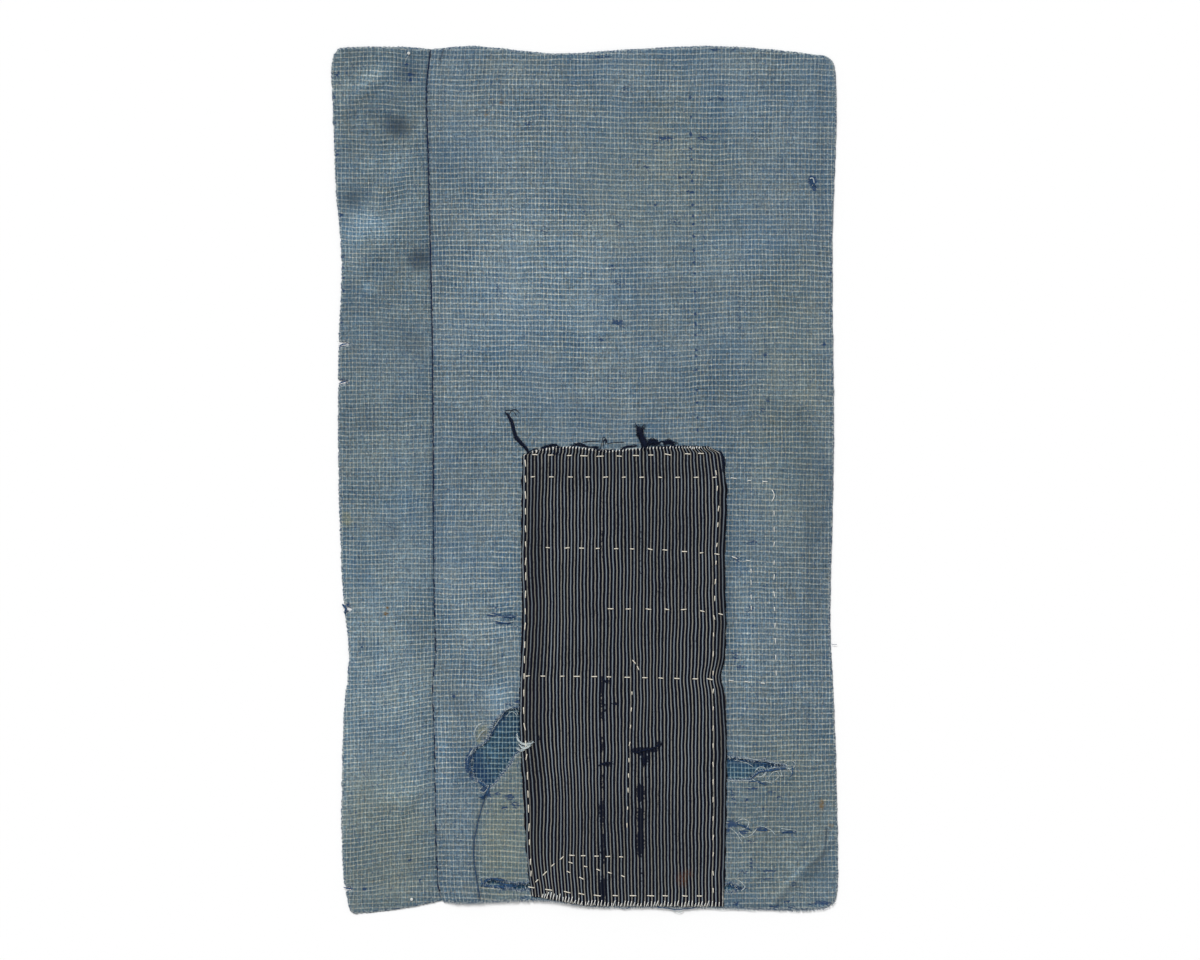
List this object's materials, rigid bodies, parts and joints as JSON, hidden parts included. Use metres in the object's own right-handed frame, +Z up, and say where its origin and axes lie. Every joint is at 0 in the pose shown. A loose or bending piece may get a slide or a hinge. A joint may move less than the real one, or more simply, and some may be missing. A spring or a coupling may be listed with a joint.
{
  "type": "boro patched cloth",
  "caption": "Flat worn cloth of indigo check: a loom-width panel with a narrow side strip, a striped patch on the face, and mending pieces behind its worn holes.",
  "frame": {"origin": "on the surface that the cloth lies on, under the middle of its outline", "axes": "+X to the right and +Y up the cloth as it is seen from above, with the patch towards -Y; +Z up off the surface"},
  "size_m": [0.421, 0.7204, 0.004],
  "materials": {
    "check_cotton": "faded indigo check, plain weave, matte and worn",
    "strip_cotton": "faded grey-blue check, plain weave, matte and stained",
    "striped_cotton": "near-black indigo and grey warp stripe, matte",
    "mending_cotton": "unfaded dark indigo check, matte"
  },
  "bodies": {
    "root": {"main_panel": "check_cotton", "side_panel": "strip_cotton", "striped_patch": "striped_cotton", "backing_upper": "mending_cotton", "backing_lower": "mending_cotton"}
  },
  "joints": []
}
